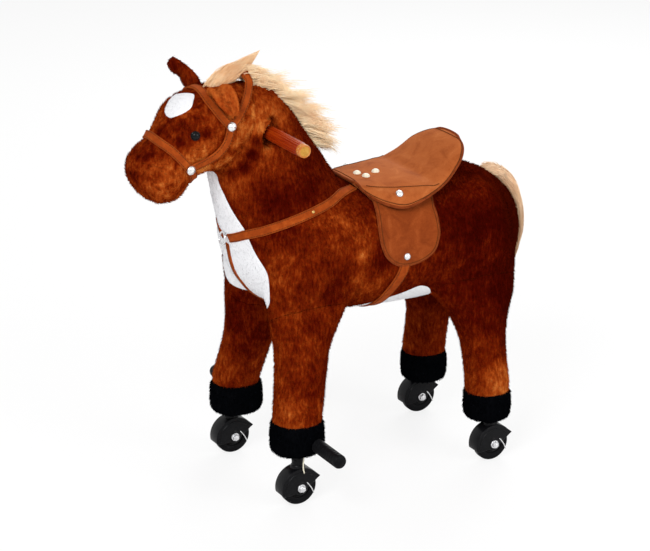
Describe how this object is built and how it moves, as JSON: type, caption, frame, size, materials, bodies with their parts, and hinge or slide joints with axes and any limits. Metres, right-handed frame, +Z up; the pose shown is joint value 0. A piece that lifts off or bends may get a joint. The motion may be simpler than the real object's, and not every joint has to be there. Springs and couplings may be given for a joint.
{
  "type": "ride-on toy horse",
  "caption": "Plush ride-on horse on hinged spring legs with wheeled feet, saddle, through-neck handlebar and front foot pegs; bouncing rolls it forward.",
  "frame": {"origin": "on the floor, under the middle of the toy's bounding box", "axes": "+X towards the horse's left side, +Y towards its tail, +Z up; it faces -Y"},
  "size_m": [0.406, 0.6565, 0.6603],
  "materials": {
    "chestnut_plush": "short crushed pile plush",
    "black_plush": "short black pile",
    "white_plush": "short white pile",
    "blonde_pile": "long soft blonde pile",
    "tan_suede": "stitched tan suede cloth",
    "brown_strap": "stitched brown suede strap",
    "eye_plastic": "polished black",
    "hood_plastic": "moulded satin black",
    "wheel_rubber": "moulded black rubber",
    "peg_rubber": "moulded fluted black rubber",
    "red_wood": "varnished red brown wood, fluted",
    "pale_wood": "turned pale wood",
    "plywood": "plain plywood",
    "bright_steel": "zinc plated steel",
    "frame_steel": "dark enamelled steel"
  },
  "bodies": {
    "body": {"body_plush": "chestnut_plush", "neck_plush": "chestnut_plush", "head_plush": "chestnut_plush", "ear_left": "chestnut_plush", "ear_right": "chestnut_plush", "eye_left": "eye_plastic", "eye_right": "eye_plastic", "forelock": "blonde_pile", "mane": "blonde_pile", "tail": "blonde_pile", "saddle_seat": "tan_suede", "saddle_flap_left": "tan_suede", "saddle_flap_right": "tan_suede", "girth_strap": "brown_strap", "breast_strap_left": "brown_strap", "breast_strap_right": "brown_strap", "chest_strap": "brown_strap", "chest_ring": "bright_steel", "chest_bib": "white_plush", "bridle": "brown_strap", "main_frame": "frame_steel", "shoulder_bolt": "bright_steel", "hip_bolt": "bright_steel", "shoulder_spring": "frame_steel", "hip_spring": "frame_steel", "saddle_board": "plywood", "handle_bar": "frame_steel", "grip_left": "red_wood", "grip_right": "red_wood", "grip_cap_left": "pale_wood", "grip_cap_right": "pale_wood"},
    "front_legs": {"front_leg_frame": "frame_steel", "leg_front_left": "chestnut_plush", "leg_front_right": "chestnut_plush", "hoof_front_left": "black_plush", "hoof_front_right": "black_plush", "caster_hood_front_left": "hood_plastic", "caster_hood_front_right": "hood_plastic", "axle_bolt_front_left": "bright_steel", "axle_bolt_front_right": "bright_steel", "pawl_front_left": "bright_steel", "pawl_front_right": "bright_steel", "peg_left": "peg_rubber", "peg_right": "peg_rubber"},
    "rear_legs": {"rear_leg_frame": "frame_steel", "leg_rear_left": "chestnut_plush", "leg_rear_right": "chestnut_plush", "hoof_rear_left": "black_plush", "hoof_rear_right": "black_plush", "caster_hood_rear_left": "hood_plastic", "caster_hood_rear_right": "hood_plastic", "axle_bolt_rear_left": "bright_steel", "axle_bolt_rear_right": "bright_steel", "pawl_rear_left": "bright_steel", "pawl_rear_right": "bright_steel"},
    "coupling_rod": {"coupling_link": "frame_steel"},
    "wheel_front_left": {"wheel_front_left": "wheel_rubber"},
    "wheel_front_right": {"wheel_front_right": "wheel_rubber"},
    "wheel_rear_left": {"wheel_rear_left": "wheel_rubber"},
    "wheel_rear_right": {"wheel_rear_right": "wheel_rubber"}
  },
  "joints": [
    {"name": "rear_leg_swing", "type": "hinge", "parent": "body", "child": "rear_legs", "pos_m": [0, 0.20816, 0.3465], "axis": [1, 0, 0], "range_deg": [0, 9], "stiffness_Nm_per_rad": 45, "springref_deg": -3.44},
    {"name": "front_leg_swing", "type": "hinge", "parent": "body", "child": "front_legs", "pos_m": [0, -0.10984, 0.3645], "axis": [-1, 0, 0], "range_deg": [0, 9], "stiffness_Nm_per_rad": 45, "springref_deg": -3.44},
    {"name": "coupling_rod_pivot", "type": "hinge", "parent": "front_legs", "child": "coupling_rod", "pos_m": [0, -0.10984, 0.388], "axis": [1, 0, 0], "range_deg": [0, 9]},
    {"name": "wheel_front_left_spin", "type": "hinge", "parent": "front_legs", "child": "wheel_front_left", "pos_m": [0.108, -0.12184, 0.028], "axis": [1, 0, 0], "continuous": true},
    {"name": "wheel_front_right_spin", "type": "hinge", "parent": "front_legs", "child": "wheel_front_right", "pos_m": [-0.108, -0.12184, 0.028], "axis": [1, 0, 0], "continuous": true},
    {"name": "wheel_rear_left_spin", "type": "hinge", "parent": "rear_legs", "child": "wheel_rear_left", "pos_m": [0.108, 0.21316, 0.028], "axis": [1, 0, 0], "continuous": true},
    {"name": "wheel_rear_right_spin", "type": "hinge", "parent": "rear_legs", "child": "wheel_rear_right", "pos_m": [-0.108, 0.21316, 0.028], "axis": [1, 0, 0], "continuous": true}
  ],
  "couplings": [
    {"joint": "front_leg_swing", "follows": "rear_leg_swing", "ratio": 1},
    {"joint": "coupling_rod_pivot", "follows": "rear_leg_swing", "ratio": 1}
  ]
}
